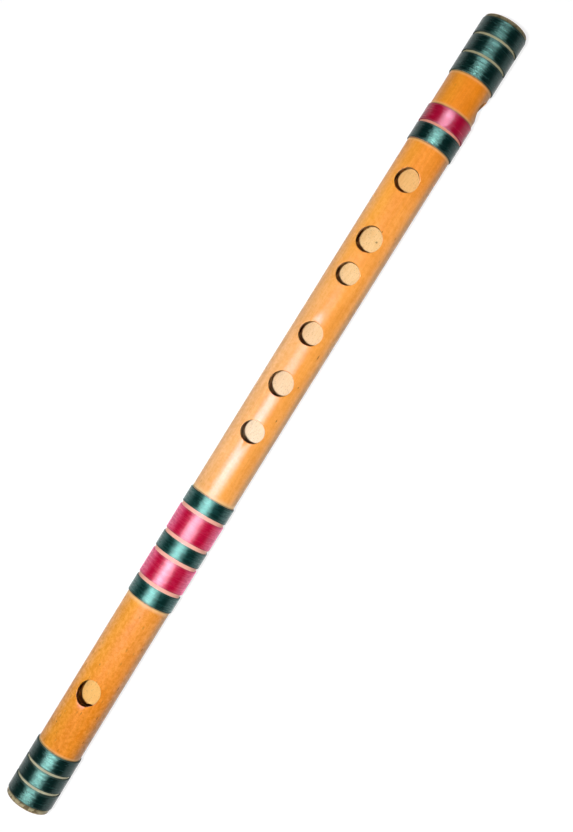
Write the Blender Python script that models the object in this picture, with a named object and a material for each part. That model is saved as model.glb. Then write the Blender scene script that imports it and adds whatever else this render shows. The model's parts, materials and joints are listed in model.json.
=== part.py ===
"""A side-blown bamboo flute: a cane tube with its holes, a cork stopper and thread bindings.

The bore runs along X, from the head end at -X to the foot end at +X. The finger holes face up,
+Z, and the tuning hole near the foot faces -Y. The flute lies on its bindings at Z = 0.
"""
import bpy
from math import cos, pi, radians, sin, tau

MM = 0.001

# The cane, which is not quite straight: its middle lies this far to +Y of its ends
BORE_DIAMETER = 19.2 * MM
HEAD_WALL = 2.65 * MM
FOOT_WALL = 2.80 * MM
CANE_BOW = 1.0 * MM

# Round pieces are polygons whose flats lie on the true circle, so that one flat faces down
SIDES = 32
STATION_STEP = 26 * MM

# The thread bindings: how far they stand off the cane, and how round their edges are
BINDING_CLEARANCE = 0.25 * MM
BINDING_THICKNESS = 0.37 * MM
BINDING_EDGE = 0.2 * MM

# The way along the cane from the head end, each stretch counted from the end of the last
HEAD_RIM = 2.6 * MM
END_BINDING_GAP = 1.0 * MM
HEAD_BINDINGS = (
    ("head_green_binding_1", "green", 8.95 * MM),
    ("head_green_binding_2", "green", 9.15 * MM),
    ("head_green_binding_3", "green", 9.35 * MM),
)
HEAD_BINDINGS_TO_BLOW_HOLE = 35.0 * MM
BLOW_HOLE_TO_MIDDLE_BINDINGS = 54.2 * MM
MIDDLE_BINDING_GAP = 1.7 * MM
MIDDLE_BINDINGS = (
    ("middle_green_binding_1", "green", 9.3 * MM),
    ("middle_pink_binding_1", "pink", 14.2 * MM),
    ("middle_green_binding_2", "green", 8.9 * MM),
    ("middle_pink_binding_2", "pink", 14.4 * MM),
    ("middle_green_binding_3", "green", 9.0 * MM),
)
MIDDLE_BINDINGS_TO_FINGER_HOLES = 40.1 * MM
FINGER_HOLES_TO_LOWER_BINDINGS = 21.3 * MM
LOWER_BINDING_GAP = 1.1 * MM
LOWER_BINDINGS = (
    ("lower_green_binding", "green", 9.6 * MM),
    ("lower_pink_binding", "pink", 10.0 * MM),
)
LOWER_BINDINGS_TO_TUNING_HOLE = 10.0 * MM
TUNING_HOLE_TO_FOOT_BINDINGS = 10.0 * MM
FOOT_BINDINGS = (
    ("foot_green_binding_1", "green", 10.9 * MM),
    ("foot_green_binding_2", "green", 10.0 * MM),
    ("foot_green_binding_3", "green", 9.6 * MM),
)
FOOT_RIM = 1.85 * MM

# Holes: length along the cane, width across it, and the turn from the top of the cane to -Y
BLOW_HOLE = (14.0 * MM, 12.1 * MM, -2.7)
FINGER_HOLES = (
    # the step from the hole before it, then length, width and turn
    (0.0 * MM, 11.9 * MM, 12.4 * MM, 4.8),
    (28.4 * MM, 13.2 * MM, 12.7 * MM, 1.7),
    (29.5 * MM, 12.5 * MM, 12.5 * MM, -1.6),
    (35.8 * MM, 12.2 * MM, 12.2 * MM, -1.9),
    (20.6 * MM, 14.0 * MM, 13.2 * MM, -1.9),
    (35.6 * MM, 13.2 * MM, 12.6 * MM, 0.2),
)
TUNING_HOLE = (12.0 * MM, 12.0 * MM, 95.0)
HOLE_SIDES = 28

# The stopper: its fit in the bore, and its front face's distance from the blow hole's middle
STOPPER_LENGTH = 16.0 * MM
STOPPER_CLEARANCE = 0.3 * MM
STOPPER_EDGE = 0.8 * MM
STOPPER_TO_BLOW_HOLE = 19.0 * MM

# Colour, roughness and metallic value of each material
MATERIALS = {
    "cane": ((0.90, 0.36, 0.07, 1.0), 0.35, 0.0),
    "green": ((0.015, 0.16, 0.14, 1.0), 0.55, 0.0),
    "pink": ((0.62, 0.02, 0.11, 1.0), 0.55, 0.0),
    "cork": ((0.45, 0.27, 0.13, 1.0), 0.85, 0.0),
}


def run_of_bindings(start, bindings, gap):
    """Each binding's name, thread, start and end along the cane, and where the last one ends."""
    placed = []
    for name, thread, width in bindings:
        placed.append((name, thread, start, start + width))
        start += width + gap
    return placed, start - gap


# Places along the cane, worked out from the stretches above
head_run, head_run_end = run_of_bindings(HEAD_RIM, HEAD_BINDINGS, END_BINDING_GAP)
blow_hole_place = head_run_end + HEAD_BINDINGS_TO_BLOW_HOLE
middle_run, middle_run_end = run_of_bindings(
    blow_hole_place + BLOW_HOLE_TO_MIDDLE_BINDINGS, MIDDLE_BINDINGS, MIDDLE_BINDING_GAP)

finger_hole_places = []
place = middle_run_end + MIDDLE_BINDINGS_TO_FINGER_HOLES
for step, length, width, turn in FINGER_HOLES:
    place += step
    finger_hole_places.append((place, length, width, turn))

lower_run, lower_run_end = run_of_bindings(
    place + FINGER_HOLES_TO_LOWER_BINDINGS, LOWER_BINDINGS, LOWER_BINDING_GAP)
tuning_hole_place = lower_run_end + LOWER_BINDINGS_TO_TUNING_HOLE
foot_run, foot_run_end = run_of_bindings(
    tuning_hole_place + TUNING_HOLE_TO_FOOT_BINDINGS, FOOT_BINDINGS, END_BINDING_GAP)
CANE_LENGTH = foot_run_end + FOOT_RIM
all_bindings = head_run + middle_run + lower_run + foot_run

BORE_RADIUS = BORE_DIAMETER / 2


def cane_radius(place):
    """Outer radius of the cane: its wall is a little thicker at the foot."""
    return BORE_RADIUS + HEAD_WALL + (FOOT_WALL - HEAD_WALL) * place / CANE_LENGTH


def binding_radius(place):
    """Outer radius of a binding at its crown."""
    return cane_radius(place) + BINDING_CLEARANCE + BINDING_THICKNESS


# The widest crown of any binding carries the flute, so it sets the bore's height
AXIS_HEIGHT = max(binding_radius(end - BINDING_EDGE) for _, _, _, end in all_bindings)


def bow(place):
    """How far the bore's middle lies to +Y at a place along the cane."""
    share = 2 * place / CANE_LENGTH - 1
    return CANE_BOW * (0.5 - share * share)


def make_material(name):
    colour, roughness, metallic = MATERIALS[name]
    material = bpy.data.materials.new(name)
    material.use_nodes = True
    shader = material.node_tree.nodes["Principled BSDF"]
    shader.inputs["Base Color"].default_value = colour
    shader.inputs["Roughness"].default_value = roughness
    shader.inputs["Metallic"].default_value = metallic
    material.diffuse_color = colour
    return material


def ring_of_points(place, radius):
    """The corners of one cross-section, from the top round by -Y."""
    corner_radius = radius / cos(pi / SIDES)
    points = []
    for i in range(SIDES):
        angle = (i + 0.5) * tau / SIDES
        points.append((
            place - CANE_LENGTH / 2,
            bow(place) - corner_radius * sin(angle),
            AXIS_HEIGHT + corner_radius * cos(angle),
        ))
    return points


def turned_object(name, profile, material, closed, origin=(0.0, 0.0, 0.0)):
    """A body turned round the bore from (place, radius) points. Its outer side runs to the foot.

    A closed profile makes a ring, and an open one a plug with flat ends.
    """
    points = [point for place, radius in profile for point in ring_of_points(place, radius)]
    points = [tuple(p - o for p, o in zip(point, origin)) for point in points]
    rows = len(profile)
    faces = []
    for row in range(rows if closed else rows - 1):
        here = row * SIDES
        there = (row + 1) % rows * SIDES
        for i in range(SIDES):
            j = (i + 1) % SIDES
            faces.append((here + i, here + j, there + j, there + i))
    if not closed:
        faces.append(tuple(reversed(range(SIDES))))
        faces.append(tuple(range((rows - 1) * SIDES, rows * SIDES)))
    mesh = bpy.data.meshes.new(name)
    mesh.from_pydata(points, [], faces)
    mesh.update()
    mesh.shade_smooth()
    mesh.set_sharp_from_angle(angle=radians(35))
    mesh.materials.append(material)
    piece = bpy.data.objects.new(name, mesh)
    piece.location = origin
    bpy.context.scene.collection.objects.link(piece)
    return piece


def hole_cutter(name, place, length, width, turn):
    """An oval prism that runs outwards from the bore's middle through one wall."""
    reach = 2 * cane_radius(place)
    points = []
    for height in (0.0, reach):
        for i in range(HOLE_SIDES):
            angle = (i + 0.5) * tau / HOLE_SIDES
            points.append((length / 2 * cos(angle), width / 2 * sin(angle), height))
    faces = [tuple(reversed(range(HOLE_SIDES))), tuple(range(HOLE_SIDES, 2 * HOLE_SIDES))]
    for i in range(HOLE_SIDES):
        j = (i + 1) % HOLE_SIDES
        faces.append((i, j, HOLE_SIDES + j, HOLE_SIDES + i))
    mesh = bpy.data.meshes.new(name)
    mesh.from_pydata(points, [], faces)
    mesh.update()
    cutter = bpy.data.objects.new(name, mesh)
    cutter.location = (place - CANE_LENGTH / 2, bow(place), AXIS_HEIGHT)
    cutter.rotation_euler = (radians(turn), 0.0, 0.0)
    cutter.hide_render = True
    cutter.display_type = "WIRE"
    bpy.context.scene.collection.objects.link(cutter)
    return cutter


def make_cane_tube(material):
    """The cane with its bore, cut square at both ends, and all its holes."""
    count = round(CANE_LENGTH / STATION_STEP)
    stations = [CANE_LENGTH * i / count for i in range(count + 1)]
    outside = [(place, cane_radius(place)) for place in stations]
    inside = [(place, BORE_RADIUS) for place in reversed(stations)]
    tube = turned_object("cane_tube", outside + inside, material, closed=True)

    cutters = [hole_cutter("blow_hole_cutter", blow_hole_place, *BLOW_HOLE)]
    for number, hole in enumerate(finger_hole_places, start=1):
        cutters.append(hole_cutter(f"finger_hole_cutter_{number}", *hole))
    cutters.append(hole_cutter("tuning_hole_cutter", tuning_hole_place, *TUNING_HOLE))
    for cutter in cutters:
        cut = tube.modifiers.new(cutter.name, "BOOLEAN")
        cut.operation = "DIFFERENCE"
        cut.solver = "EXACT"
        cut.object = cutter
    return tube


def make_binding(name, start, end, material):
    """One band of wound thread: flat inside, with a rounded edge on each side of its crown."""
    profile = [
        (start, cane_radius(start) + BINDING_CLEARANCE),
        (start, binding_radius(start) - BINDING_EDGE),
        (start + BINDING_EDGE, binding_radius(start + BINDING_EDGE)),
        (end - BINDING_EDGE, binding_radius(end - BINDING_EDGE)),
        (end, binding_radius(end) - BINDING_EDGE),
        (end, cane_radius(end) + BINDING_CLEARANCE),
    ]
    return turned_object(name, profile, material, closed=True)


def make_cork_stopper(material):
    """The cork plug. Its origin lies on the bore's axis, along which it slides."""
    front = blow_hole_place - STOPPER_TO_BLOW_HOLE
    back = front - STOPPER_LENGTH
    radius = BORE_RADIUS - STOPPER_CLEARANCE
    profile = [
        (back, radius - STOPPER_EDGE),
        (back + STOPPER_EDGE, radius),
        (front - STOPPER_EDGE, radius),
        (front, radius - STOPPER_EDGE),
    ]
    middle = (back + front) / 2
    origin = (middle - CANE_LENGTH / 2, bow(middle), AXIS_HEIGHT)
    return turned_object("cork_stopper", profile, material, closed=False, origin=origin)


def main():
    for old in list(bpy.data.objects):
        bpy.data.objects.remove(old)
    materials = {name: make_material(name) for name in MATERIALS}
    make_cane_tube(materials["cane"])
    make_cork_stopper(materials["cork"])
    for name, thread, start, end in all_bindings:
        make_binding(name, start, end, materials[thread])


main()
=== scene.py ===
# %% [markdown]
# # Dressing a bamboo flute with thread bindings
# A side-blown flute is one length of cane with a cork pushed into it and fine thread wound round it.
# The construction comes from the frame: which pieces there are, how large they are and where they sit.
# This lesson builds the surfaces that the eye sees: cane skin and end grain, burnt holes, cork and
# thread wound turn by turn. Each piece takes its place from the frame.

# %% Load the frame
import json
from math import atan2, cos, pi, radians, sin, sqrt, tau

import bpy
from mathutils import Matrix, Vector, noise


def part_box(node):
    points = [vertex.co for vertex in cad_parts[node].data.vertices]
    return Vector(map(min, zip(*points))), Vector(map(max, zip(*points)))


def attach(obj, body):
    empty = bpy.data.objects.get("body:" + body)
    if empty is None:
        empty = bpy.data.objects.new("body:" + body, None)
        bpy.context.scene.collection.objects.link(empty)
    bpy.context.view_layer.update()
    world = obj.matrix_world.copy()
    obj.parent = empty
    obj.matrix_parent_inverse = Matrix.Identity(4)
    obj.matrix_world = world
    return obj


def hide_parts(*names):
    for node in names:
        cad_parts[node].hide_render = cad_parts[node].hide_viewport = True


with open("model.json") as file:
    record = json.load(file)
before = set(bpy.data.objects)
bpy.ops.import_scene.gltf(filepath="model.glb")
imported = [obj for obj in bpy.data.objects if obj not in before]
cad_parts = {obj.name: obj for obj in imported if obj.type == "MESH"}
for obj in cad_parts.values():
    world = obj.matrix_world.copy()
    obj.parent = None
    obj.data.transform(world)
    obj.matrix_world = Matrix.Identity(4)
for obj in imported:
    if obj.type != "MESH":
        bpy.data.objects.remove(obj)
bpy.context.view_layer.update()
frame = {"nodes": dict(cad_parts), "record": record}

record = frame["record"]

# %% [markdown]
# ## Sizes read from the frame
# The cane is a little bowed and a little thicker at the foot. Each binding's box gives the middle of the
# bore at its place and the radius of the cane under it, so two bindings are enough to know both. The
# stopper gives the bore's radius, because it is made to fit the bore with a known clearance.

# %% Sizes read from the frame
MM = 0.001
STOPPER_CLEARANCE = 0.30 * MM
BINDING_STAND_OFF = 0.62 * MM


def middle_of(node):
    low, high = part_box(node)
    return (Vector(low) + Vector(high)) / 2


def half_height_of(node):
    low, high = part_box(node)
    return (high[2] - low[2]) / 2


END_MARGIN = 0.01 * MM
head_x, foot_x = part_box("cane_tube")[0][0] + END_MARGIN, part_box("cane_tube")[1][0] - END_MARGIN
half_length = (foot_x - head_x) / 2
axis_z = middle_of("foot_green_binding_3").z
bore_radius = half_height_of("cork_stopper") + STOPPER_CLEARANCE

near_end, near_middle = middle_of("head_green_binding_1"), middle_of("middle_green_binding_3")
bow_depth = (near_middle.y - near_end.y) / ((near_end.x ** 2 - near_middle.x ** 2) / half_length ** 2)
bow_top = near_middle.y + bow_depth * (near_middle.x / half_length) ** 2

head_radius = half_height_of("head_green_binding_1") - BINDING_STAND_OFF
foot_radius = half_height_of("foot_green_binding_3") - BINDING_STAND_OFF


def bow_at(x):
    """How far the bore's middle lies to +Y at x."""
    return bow_top - bow_depth * (x / half_length) ** 2


def cane_radius_at(x):
    """The cane's outer radius at x, which grows evenly from head to foot."""
    share = (x - head_x) / (foot_x - head_x)
    return head_radius + (foot_radius - head_radius) * share


print(f"cane {2000 * half_length:.1f} mm, bore {2000 * bore_radius:.2f} mm, bow {1000 * bow_depth:.2f} mm")
print(f"cane radius {1000 * head_radius:.2f} to {1000 * foot_radius:.2f} mm")
print(f"axis at z {1000 * axis_z:.2f} mm")

# %% [markdown]
# ## The camera
# The photograph looks straight down at the flute from a little over half a metre, so the rings at the two
# ends show their sides. The flute had rolled a few degrees in front of that camera. Here the flute keeps
# its place and the camera leans by that angle instead. The directions below are the picture's own: along
# the cane, across it, and out towards the camera.

# %% The camera
PICTURE_HEIGHT = 832
PIXEL = 0.518 * MM
CAMERA_DISTANCE = 1100 * PIXEL
SENSOR = 36.0
FLUTE_ROLL = radians(6.0)
CANE_SLOPE = radians(58.24)
CAMERA_ALONG = 4.6 * MM
CAMERA_ACROSS = 9.7 * MM

along = Vector((1.0, 0.0, 0.0))
across = Vector((0.0, -cos(FLUTE_ROLL), -sin(FLUTE_ROLL)))
towards_camera = Vector((0.0, -sin(FLUTE_ROLL), cos(FLUTE_ROLL)))
axis_point = Vector((0.0, 0.0, axis_z))


def in_front(along_distance, across_distance, distance):
    """A point given in the picture's own directions, from the middle of the flute's axis."""
    return axis_point + along * along_distance + across * across_distance + towards_camera * distance


def make_camera():
    bpy.ops.object.select_all(action="DESELECT")
    bpy.ops.object.camera_add(location=in_front(CAMERA_ALONG, CAMERA_ACROSS, CAMERA_DISTANCE))
    camera = bpy.context.object
    camera.name = "studio_camera"
    right = cos(CANE_SLOPE) * along + sin(CANE_SLOPE) * across
    up = sin(CANE_SLOPE) * along - cos(CANE_SLOPE) * across
    turn = Matrix((right, up, towards_camera)).transposed()
    camera.rotation_euler = turn.to_euler()
    camera.data.sensor_width = SENSOR
    camera.data.lens = SENSOR * CAMERA_DISTANCE / PIXEL / PICTURE_HEIGHT
    camera.data.clip_start, camera.data.clip_end = 0.01, 20.0
    bpy.context.scene.camera = camera
    print(f"lens {camera.data.lens:.1f} mm at {1000 * CAMERA_DISTANCE:.0f} mm")


make_camera()

# %% [markdown]
# ## Small helpers for materials
# Every finish below is a network of nodes. A few helpers keep the cells short: feed sets a node's inputs
# by name, the next ones add the nodes that come up again and again, and the last ones start a material
# or a shared node group.

# %% Helpers for nodes


def feed(tree, node, **inputs):
    """Gives a node's inputs values, or sockets to link from. The key _0 is the first input."""
    for key, value in inputs.items():
        socket = node.inputs[int(key[1:])] if key[1:].isdigit() else node.inputs[key.replace("_", " ")]
        if isinstance(value, bpy.types.NodeSocket):
            tree.links.new(value, socket)
        else:
            socket.default_value = value
    return node


def add_node(tree, kind, settings=None, **inputs):
    """A node with its properties set and its inputs fed."""
    node = tree.nodes.new(kind)
    for key, value in (settings or {}).items():
        setattr(node, key, value)
    return feed(tree, node, **inputs)


def math_node(tree, operation, first, second=0.0):
    return add_node(tree, "ShaderNodeMath", {"operation": operation}, _0=first, _1=second).outputs[0]


def times(tree, first, second):
    return math_node(tree, "MULTIPLY", first, second)


def stretch(tree, vector, scale):
    """A vector multiplied axis by axis."""
    return add_node(tree, "ShaderNodeVectorMath", {"operation": "MULTIPLY"}, _0=vector, _1=scale).outputs[0]


def own_place(tree):
    """Each point's place in its own object. The flute's pieces all sit at the origin."""
    return add_node(tree, "ShaderNodeTexCoord").outputs["Object"]


def part_of(tree, vector, axis):
    return add_node(tree, "ShaderNodeSeparateXYZ", Vector=vector).outputs[axis]


def range_node(tree, value, low, high, to_low=0.0, to_high=1.0, smooth=True):
    """Maps low..high to to_low..to_high, held at both ends."""
    kind = "SMOOTHSTEP" if smooth else "LINEAR"
    node = add_node(tree, "ShaderNodeMapRange", {"interpolation_type": kind}, Value=value,
                    From_Min=low, From_Max=high, To_Min=to_low, To_Max=to_high)
    return node.outputs["Result"]


# %% Helpers for patterns and colours


def noise_node(tree, vector, scale, detail, roughness):
    node = add_node(tree, "ShaderNodeTexNoise", Vector=vector, Scale=scale, Detail=detail,
                    Roughness=roughness)
    return node.outputs["Fac"]


def mix_colours(tree, factor, first, second, blend="MIX"):
    node = add_node(tree, "ShaderNodeMix", {"data_type": "RGBA", "blend_type": blend},
                    _0=factor, _6=first, _7=second)
    return node.outputs[2]


def toned(tree, colour, pattern, low, high, darker, lighter):
    """The colour multiplied by a tone that follows a pattern from its low to its high value."""
    tone = mix_colours(tree, range_node(tree, pattern, low, high), darker, lighter)
    return mix_colours(tree, 1.0, colour, tone, "MULTIPLY")


def ramp_node(tree, factor, stops):
    """A colour ramp through (place, colour) stops."""
    ramp = add_node(tree, "ShaderNodeValToRGB", Fac=factor)
    elements = ramp.color_ramp.elements
    elements.remove(elements[0])
    elements[0].position, elements[0].color = stops[0]
    for place, colour in stops[1:]:
        elements.new(place).color = colour
    return ramp.outputs["Color"]


# %% Helpers for materials and groups
DULL = {"Roughness": 0.9, "Specular_IOR_Level": 0.0}


def start_material(name, **constants):
    """A material with one Principled shader whose plain values are set on its own sockets."""
    material = bpy.data.materials.new(name)
    material.use_nodes = True
    shader = material.node_tree.nodes["Principled BSDF"]
    return material, material.node_tree, feed(material.node_tree, shader, **constants)


def add_relief(tree, shader, strength, distance, height):
    """Relief too fine for the mesh."""
    bump = add_node(tree, "ShaderNodeBump", Strength=strength, Distance=distance, Height=height)
    feed(tree, shader, Normal=bump.outputs["Normal"])


def start_group(name, inputs, outputs):
    """A shader node group with named inputs (name, kind, value) and outputs (name, kind)."""
    group = bpy.data.node_groups.new(name, "ShaderNodeTree")
    for label, kind, value in inputs:
        socket = group.interface.new_socket(name=label, in_out="INPUT", socket_type=kind)
        if value is not None:
            socket.default_value = value
    for label, kind in outputs:
        group.interface.new_socket(name=label, in_out="OUTPUT", socket_type=kind)
    return group, group.nodes.new("NodeGroupInput"), group.nodes.new("NodeGroupOutput")


def use_group(tree, group, **inputs):
    return add_node(tree, "ShaderNodeGroup", {"node_tree": group}, **inputs)


# %% [markdown]
# ## Cane grain, one group for four surfaces
# Bamboo is a bundle of straight fibres. On the skin they show as long faint streaks, and on the bore and
# in the holes as shorter ones. One noise stretched along X gives them all, and the group takes the
# fibre's width and length. Its cloud is a broader noise: slow changes of tone on the skin, and the
# mottled ground of a sawn end, where the dots of the cut fibres are cells of their own.

# %% The grain group
FIBRE_WIDTH, FIBRE_LENGTH = 0.3 * MM, 20 * MM


def make_grain_group():
    group, given, result = start_group(
        "cane_grain",
        [("Vector", "NodeSocketVector", None), ("Fibre Width", "NodeSocketFloat", FIBRE_WIDTH),
         ("Fibre Length", "NodeSocketFloat", FIBRE_LENGTH)],
        [("Streak", "NodeSocketFloat"), ("Fine", "NodeSocketFloat"), ("Cloud", "NodeSocketFloat")])
    across_scale = math_node(group, "DIVIDE", 1.0, given.outputs["Fibre Width"])
    along_scale = math_node(group, "DIVIDE", 1.0, given.outputs["Fibre Length"])
    scale = add_node(group, "ShaderNodeCombineXYZ", X=along_scale, Y=across_scale, Z=across_scale)
    stretched = stretch(group, given.outputs["Vector"], scale.outputs[0])
    streak = noise_node(group, stretched, 1.0, 3.0, 0.55)
    closer = stretch(group, stretched, (2.7, 3.1, 3.1))
    fine = noise_node(group, closer, 1.0, 2.0, 0.6)
    wider = stretch(group, given.outputs["Vector"], (28.0, 170.0, 170.0))
    cloud = noise_node(group, wider, 1.0, 3.0, 0.5)
    feed(group, result, Streak=streak, Fine=fine, Cloud=cloud)
    return group


grain_group = make_grain_group()
print("group:", grain_group.name)


def start_cane(name, fibre_width=FIBRE_WIDTH, fibre_length=FIBRE_LENGTH, **constants):
    """(material, tree, shader, each point's place, the grain) of one of the cane's surfaces."""
    material, tree, shader = start_material(name, **constants)
    vector = own_place(tree)
    grain = use_group(tree, grain_group, Vector=vector, Fibre_Width=fibre_width,
                      Fibre_Length=fibre_length)
    return material, tree, shader, vector, grain

# %% [markdown]
# ## The cane's skin
# The skin is waxy and orange tan, deeper towards the foot. Its gloss is weak, so its highlight is a soft
# lengthwise line. One list of soft masks paints light and shade on the two flanks: a paler painted sheen
# along the middle, a painted lighter side towards the lamp and a deeper side away from it near the ends,
# and painted shade near the ends and along the -Y edge. Brown flecks gather near the head, and the strips
# between and beside the bindings stay pale, because thread has kept hands and oil off them. A painted
# shadow mixed with dirt darkens the cane right beside each binding and the rims next to the bindings.

# %% The skin material
SKIN_BY_PLACE = (
    # how far along the cane, from 0 at the head to 1 at the foot, and the colour there
    (0.00, (0.84, 0.298, 0.027, 1.0)),
    (0.14, (0.85, 0.290, 0.030, 1.0)),
    (0.21, (0.88, 0.320, 0.048, 1.0)),
    (0.30, (0.90, 0.355, 0.056, 1.0)),
    (0.42, (0.90, 0.375, 0.078, 1.0)),
    (0.62, (0.94, 0.380, 0.070, 1.0)),
    (0.76, (0.98, 0.375, 0.066, 1.0)),
    (0.86, (0.95, 0.300, 0.026, 1.0)),
    (1.00, (0.88, 0.260, 0.008, 1.0)),
)
# painted light and shade on the flanks: sheen, a lit side, a shaded side, shade at the ends and -Y edge
PAINTED_SHEEN_FLANK = (0.98, 0.62, 0.32, 1.0)
PAINTED_SHADE_FLANK = (0.54, 0.26, 0.08, 1.0)
LIT_SIDE_STRAW = (0.98, 0.60, 0.06, 1.0)
SHADED_SIDE_AMBER = (0.80, 0.22, 0.0, 1.0)
PAINTED_SHADE_EDGE = (0.40, 0.26, 0.14, 1.0)
STRIPS = (
    # from head to foot: the cane between the bindings of a run, how far it pales beside them, how wide
    ((0.46, 0.43, 0.29, 1.0), 0.35, 1.1 * MM),
    ((0.84, 0.42, 0.32, 1.0), 0.60, 1.7 * MM),
    ((0.72, 0.31, 0.22, 1.0), 0.40, 1.2 * MM),
    ((0.38, 0.35, 0.21, 1.0), 0.30, 1.3 * MM),
)
MARGIN_CREAM = (0.88, 0.61, 0.31, 1.0)
# painted shadow mixed with dirt, right beside the bindings
SHADOW_AND_DIRT_BROWN = (0.10, 0.07, 0.018, 1.0)
RIMS = ((0.42, 0.36, 0.21, 1.0), (0.20, 0.175, 0.105, 1.0))
RIM_SHADE = (0.14, 0.12, 0.055, 1.0)
RIM_SPOT = (0.07, 0.040, 0.014, 1.0)
FLECK_BROWN = (0.40, 0.14, 0.020, 1.0)
MARK_BROWN = (0.33, 0.10, 0.016, 1.0)
SKIN_ROUGHNESS = 0.23
UNWAXED_ROUGHER = 0.16
RUN_BREAK = 3 * MM
# each band's margin beyond its two edges, and how soft those are
STRIP_BAND = (-0.1 * MM, 0.05 * MM)
SHADOW_AND_DIRT_BAND, SHADOW_AND_DIRT_SHARE = (0.35 * MM, 0.5 * MM), 0.8
SHADE_AND_GRIME_BAND = (0.5 * MM, 0.7 * MM)
RIM_BAND = (0.1 * MM, 0.1 * MM)
MARK_SHARE, FLECK_SHARE, DOT_SHARE = 0.8, 0.5, 0.75


def place_along(tree, vector):
    """0 at the head end, 1 at the foot end."""
    x = part_of(tree, vector, "X")
    return x, range_node(tree, x, head_x, foot_x, smooth=False)


thread_nodes = [name for name in frame["nodes"] if "binding" in name]


def runs_of_bindings():
    """(start, end) of each run of bindings that stand side by side, from head to foot."""
    runs = []
    for node in sorted(thread_nodes, key=lambda name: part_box(name)[0][0]):
        start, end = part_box(node)[0][0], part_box(node)[1][0]
        if runs and start - runs[-1][1] < RUN_BREAK:
            runs[-1][1] = end
        else:
            runs.append([start, end])
    return runs


def band(tree, x, start, end, margin, soft):
    """1 from start to end and a margin beyond, 0 farther away."""
    distance = math_node(tree, "ABSOLUTE", math_node(tree, "SUBTRACT", x, (start + end) / 2))
    reach = (end - start) / 2 + margin
    return range_node(tree, distance, reach - soft, reach + soft, 1.0, 0.0)


def lay_strips(tree, vector, x, colour):
    """The pale strips beside and between the bindings, a painted shadow mixed with dirt right beside them,
    and the rims at the two ends, worn and spotted, with painted shade mixed with grime by the bindings.

    Also gives how far the wax is missing there, because those strips are duller.
    """
    runs = runs_of_bindings()
    unwaxed = 0.0
    for (start, end), (strip, paling, width) in zip(runs, STRIPS):
        beside = band(tree, x, start, end, width, 0.7 * width)
        colour = mix_colours(tree, times(tree, beside, paling), colour, MARGIN_CREAM)
        # painted shadow mixed with dirt on the bare cane right beside each binding
        shadow_and_dirt = times(tree, band(tree, x, start, end, *SHADOW_AND_DIRT_BAND), SHADOW_AND_DIRT_SHARE)
        colour = mix_colours(tree, shadow_and_dirt, colour, SHADOW_AND_DIRT_BROWN)
        colour = mix_colours(tree, band(tree, x, start, end, *STRIP_BAND), colour, strip)
        unwaxed = math_node(tree, "MAXIMUM", beside, unwaxed)
    spots = noise_node(tree, vector, 420.0, 2.0, 0.6)
    spot = range_node(tree, spots, 0.52, 0.62, 0.0, 0.7)
    # painted shade mixed with grime on each rim, where it meets the bindings
    shade_and_grime = band(tree, x, runs[0][0], runs[-1][1], *SHADE_AND_GRIME_BAND)
    for (start, end), rim in zip(((head_x, runs[0][0]), (runs[-1][1], foot_x)), RIMS):
        weathered_and_shaded = mix_colours(tree, spot, mix_colours(tree, shade_and_grime, rim, RIM_SHADE), RIM_SPOT)
        colour = mix_colours(tree, band(tree, x, start, end, *RIM_BAND), colour, weathered_and_shaded)
    return colour, unwaxed


MARKS = (
    # a brown mark on the skin: its x, degrees round from the top towards -Y, length and width
    (-203.6 * MM, -31, 2.2 * MM, 0.8 * MM),
    (-189.4 * MM, -36, 1.2 * MM, 0.8 * MM),
    (-177.5 * MM, 51, 2.4 * MM, 0.9 * MM),
    (-191.9 * MM, 54, 1.6 * MM, 0.9 * MM),
    (-178.4 * MM, 8, 2.0 * MM, 0.5 * MM),
    (-152.5 * MM, -15, 1.4 * MM, 0.6 * MM),
    (-159.6 * MM, 61, 3.0 * MM, 1.0 * MM),
    (-136.1 * MM, 61, 2.4 * MM, 0.9 * MM),
    (-0.4 * MM, 42, 1.6 * MM, 0.9 * MM),
    (19.9 * MM, 45, 1.2 * MM, 0.8 * MM),
    (38.3 * MM, 48, 3.0 * MM, 0.9 * MM),
    (109.5 * MM, 16, 1.0 * MM, 0.8 * MM),
)


def ellipsoid_mask(tree, vector, centre, length, width):
    """1 at the centre of a small soft spot, 0 outside it."""
    offset = add_node(tree, "ShaderNodeVectorMath", {"operation": "SUBTRACT"},
                      _0=vector, _1=centre).outputs[0]
    scaled = stretch(tree, offset, (2 / length, 2 / width, 2 / width))
    distance = add_node(tree, "ShaderNodeVectorMath", {"operation": "LENGTH"}, _0=scaled).outputs["Value"]
    return range_node(tree, distance, 0.4, 1.2, 1.0, 0.0)


def lay_marks(tree, vector, colour):
    for x, degrees, length, width in MARKS:
        angle, radius = radians(degrees), cane_radius_at(x)
        centre = (x, bow_at(x) - radius * sin(angle), axis_z + radius * cos(angle))
        mark = times(tree, ellipsoid_mask(tree, vector, centre, length, width), MARK_SHARE)
        colour = mix_colours(tree, mark, colour, MARK_BROWN)
    return colour


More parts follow.
